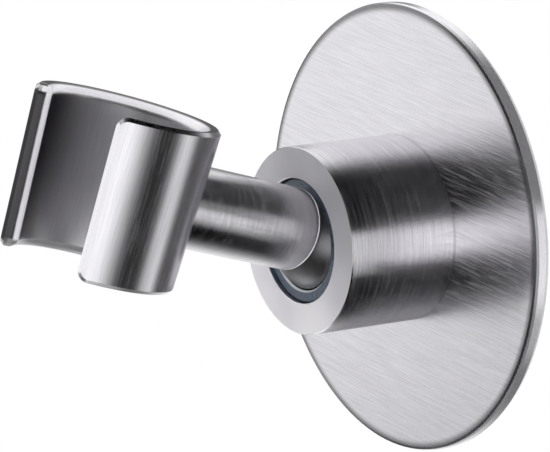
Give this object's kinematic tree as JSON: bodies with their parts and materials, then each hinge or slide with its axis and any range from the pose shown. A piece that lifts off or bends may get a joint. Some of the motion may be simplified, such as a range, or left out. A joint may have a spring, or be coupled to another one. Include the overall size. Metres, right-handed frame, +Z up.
{
  "type": "hand shower holder",
  "caption": "Adhesive wall holder for a hand shower: round brushed disc, ball joint in a turned housing, short arm and open tapered cradle.",
  "frame": {"origin": "centre of the adhesive face that sticks to the wall", "axes": "+Y into the wall, +Z up, +X to the right for someone who faces the wall"},
  "size_m": [0.0758, 0.08, 0.0758],
  "materials": {
    "clear_gel": "clear, soft and glossy",
    "brushed_plate": "straight brushed grain",
    "brushed_housing": "grain round the axis",
    "brushed_arm": "grain round the axis, bright edge",
    "brushed_cradle": "fine grain, smooth bright edges",
    "polished_ball": "mirror polish",
    "ring_blue_grey": "smooth blue-grey plastic",
    "screw_steel": "plain bright",
    "plain_steel": "plain",
    "black_rubber": "matte",
    "white_plastic": "smooth, slightly waxy"
  },
  "bodies": {
    "wall_mount": {"adhesive_pad": "clear_gel", "wall_disc": "brushed_plate", "housing": "brushed_housing", "housing_screw_1": "screw_steel", "housing_screw_2": "screw_steel", "housing_screw_3": "screw_steel", "retaining_ring": "ring_blue_grey", "ball_seal": "black_rubber", "thrust_washer": "plain_steel", "disc_spring_front": "plain_steel", "disc_spring_rear": "plain_steel"},
    "seat": {"rear_seat": "white_plastic"},
    "ball": {"ball": "polished_ball"},
    "arm": {"ball_stud": "screw_steel", "arm": "brushed_arm", "cradle": "brushed_cradle", "cradle_screw": "screw_steel"}
  },
  "joints": [
    {"name": "ball_turn", "type": "hinge", "parent": "wall_mount", "child": "seat", "pos_m": [0, -0.0174, 0], "axis": [0, -1, 0], "continuous": true},
    {"name": "ball_tilt", "type": "hinge", "parent": "seat", "child": "ball", "pos_m": [0, -0.0174, 0], "axis": [-0.8676, 0, 0.4972], "range_deg": [-43.34, 4.66]},
    {"name": "arm_turn", "type": "hinge", "parent": "ball", "child": "arm", "pos_m": [0, -0.0174, 0], "axis": [0.1647, -0.9436, 0.2874], "continuous": true}
  ]
}
